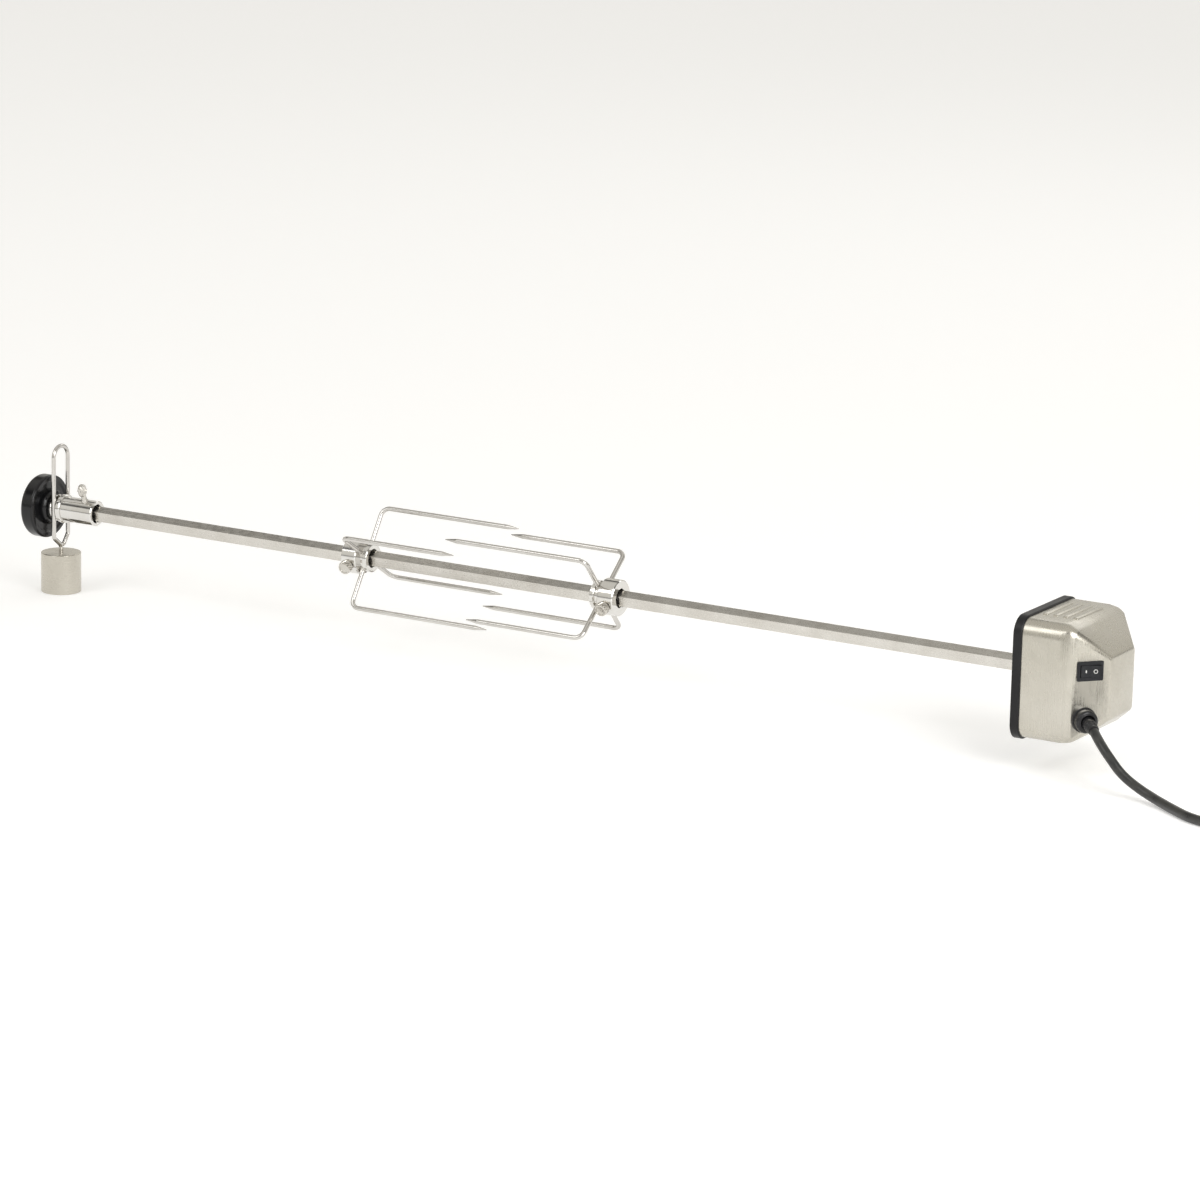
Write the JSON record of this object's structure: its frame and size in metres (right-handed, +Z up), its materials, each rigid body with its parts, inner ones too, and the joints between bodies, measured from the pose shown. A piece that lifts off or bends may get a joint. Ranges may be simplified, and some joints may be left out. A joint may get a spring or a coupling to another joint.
{
  "type": "rotisserie spit kit",
  "caption": "Grill rotisserie kit: geared motor in a faceted steel housing with rocker switch and mains cord, square spit rod, two meat forks, clamped handle and adjustable counterweight.",
  "frame": {"origin": "on the spit rod's axis, in the flat face at the back of the motor that goes against the grill's bracket", "axes": "+X along the spit rod towards the motor's nose, +Z up, -Y towards the side with the switch"},
  "size_m": [1.3064, 0.25, 0.131],
  "materials": {
    "shell_steel": "brushed stainless sheet",
    "base_black": "satin black moulded base",
    "rod_steel": "drawn stainless bar",
    "tine_steel": "polished stainless wire",
    "collar_chrome": "polished chrome",
    "screw_steel": "bright plated steel",
    "knob_black": "glossy black phenolic",
    "weight_nickel": "satin nickel plate",
    "zinc_steel": "zinc plated sheet",
    "gear_brass": "cut brass",
    "gear_steel": "hobbed steel",
    "bronze": "sintered bronze",
    "rotor_black": "ferrite",
    "coil_copper": "varnished copper winding",
    "switch_black": "glossy black",
    "gland_black": "black nylon",
    "cord_black": "black flexible jacket",
    "pin_brass": "plated brass blades"
  },
  "bodies": {
    "motor": {"base_plate": "base_black", "motor_shell": "shell_steel", "base_screws": "zinc_steel", "front_gear_plate": "zinc_steel", "rear_gear_plate": "zinc_steel", "gearbox_spacers": "zinc_steel", "rear_plate_screws": "zinc_steel", "gear_shafts": "gear_steel", "front_bushing": "bronze", "rear_bushing": "bronze", "motor_can": "zinc_steel", "motor_coil": "coil_copper", "switch_body": "switch_black", "switch_terminals": "pin_brass", "cable_gland": "gland_black", "gland_cap": "gland_black", "gland_lock_nut": "gland_black", "strain_relief": "cord_black", "power_cord": "cord_black", "cord_coil": "cord_black", "plug_body": "cord_black", "plug_pins": "pin_brass"},
    "drive": {"drive_spindle": "gear_steel", "output_gear": "gear_brass"},
    "second_gear": {"second_gear": "gear_steel"},
    "third_gear": {"third_gear": "gear_steel"},
    "rotor": {"rotor": "rotor_black"},
    "rocker": {"switch_rocker": "switch_black"},
    "spit": {"spit_rod": "rod_steel"},
    "handle": {"handle_collar": "collar_chrome"},
    "handle_screw": {"collar_thumbscrew": "screw_steel"},
    "clamp": {"clamp_ring": "collar_chrome"},
    "knob": {"handle_knob": "knob_black", "knob_cap": "knob_black"},
    "weight": {"weight_loop": "tine_steel", "counterweight": "weight_nickel"},
    "left_fork": {"left_fork_collar": "collar_chrome", "left_fork_long_tines": "tine_steel", "left_fork_short_tines": "tine_steel"},
    "left_fork_screw": {"left_fork_thumbscrew": "screw_steel"},
    "right_fork": {"right_fork_collar": "collar_chrome", "right_fork_long_tines": "tine_steel", "right_fork_short_tines": "tine_steel"},
    "right_fork_screw": {"right_fork_thumbscrew": "screw_steel"}
  },
  "joints": [
    {"name": "drive_spin", "type": "hinge", "parent": "motor", "child": "drive", "pos_m": [0, 0, 0], "axis": [1, 0, 0], "continuous": true},
    {"name": "second_gear_spin", "type": "hinge", "parent": "motor", "child": "second_gear", "pos_m": [0.015, -0.02121, 0.02121], "axis": [1, 0, 0], "continuous": true},
    {"name": "third_gear_spin", "type": "hinge", "parent": "motor", "child": "third_gear", "pos_m": [0.022, -0.00532, 0.02966], "axis": [1, 0, 0], "continuous": true},
    {"name": "rotor_spin", "type": "hinge", "parent": "motor", "child": "rotor", "pos_m": [0.03, 0.01027, 0.02066], "axis": [1, 0, 0], "continuous": true},
    {"name": "rocker_tilt", "type": "hinge", "parent": "motor", "child": "rocker", "pos_m": [0.05812, -0.03407, 0.012], "axis": [0, 0, -1], "range_deg": [0, 16]},
    {"name": "rod_pull", "type": "slide", "parent": "drive", "child": "spit", "axis": [-1, 0, 0], "range_m": [0, 0.035]},
    {"name": "left_fork_slide", "type": "slide", "parent": "spit", "child": "left_fork", "axis": [1, 0, 0], "range_m": [-0.12, 0.05]},
    {"name": "right_fork_slide", "type": "slide", "parent": "spit", "child": "right_fork", "axis": [1, 0, 0], "range_m": [-0.05, 0.18]},
    {"name": "handle_slide", "type": "slide", "parent": "spit", "child": "handle", "axis": [-1, 0, 0], "range_m": [0, 0.022]},
    {"name": "handle_screw_turn", "type": "hinge", "parent": "handle", "child": "handle_screw", "pos_m": [-0.916, 0, 0], "axis": [0, -0.342, 0.9397], "range_deg": [-180, 180]},
    {"name": "left_fork_screw_turn", "type": "hinge", "parent": "left_fork", "child": "left_fork_screw", "pos_m": [-0.63475, 0, 0], "axis": [0, -0.9397, -0.342], "range_deg": [-180, 180]},
    {"name": "right_fork_screw_turn", "type": "hinge", "parent": "right_fork", "child": "right_fork_screw", "pos_m": [-0.38475, 0, 0], "axis": [0, -0.9397, -0.342], "range_deg": [-180, 180]},
    {"name": "knob_turn", "type": "hinge", "parent": "handle", "child": "knob", "pos_m": [-0.955, 0, 0], "axis": [1, 0, 0], "range_deg": [0, 720]},
    {"name": "clamp_swivel", "type": "hinge", "parent": "handle", "child": "clamp", "pos_m": [-0.949, 0, 0], "axis": [1, 0, 0], "continuous": true},
    {"name": "weight_slide", "type": "slide", "parent": "clamp", "child": "weight", "axis": [0, 0, 1], "range_m": [-0.044, 0.008]}
  ],
  "couplings": [
    {"joint": "second_gear_spin", "follows": "drive_spin", "ratio": -4},
    {"joint": "third_gear_spin", "follows": "drive_spin", "ratio": 16},
    {"joint": "rotor_spin", "follows": "drive_spin", "ratio": -64}
  ]
}
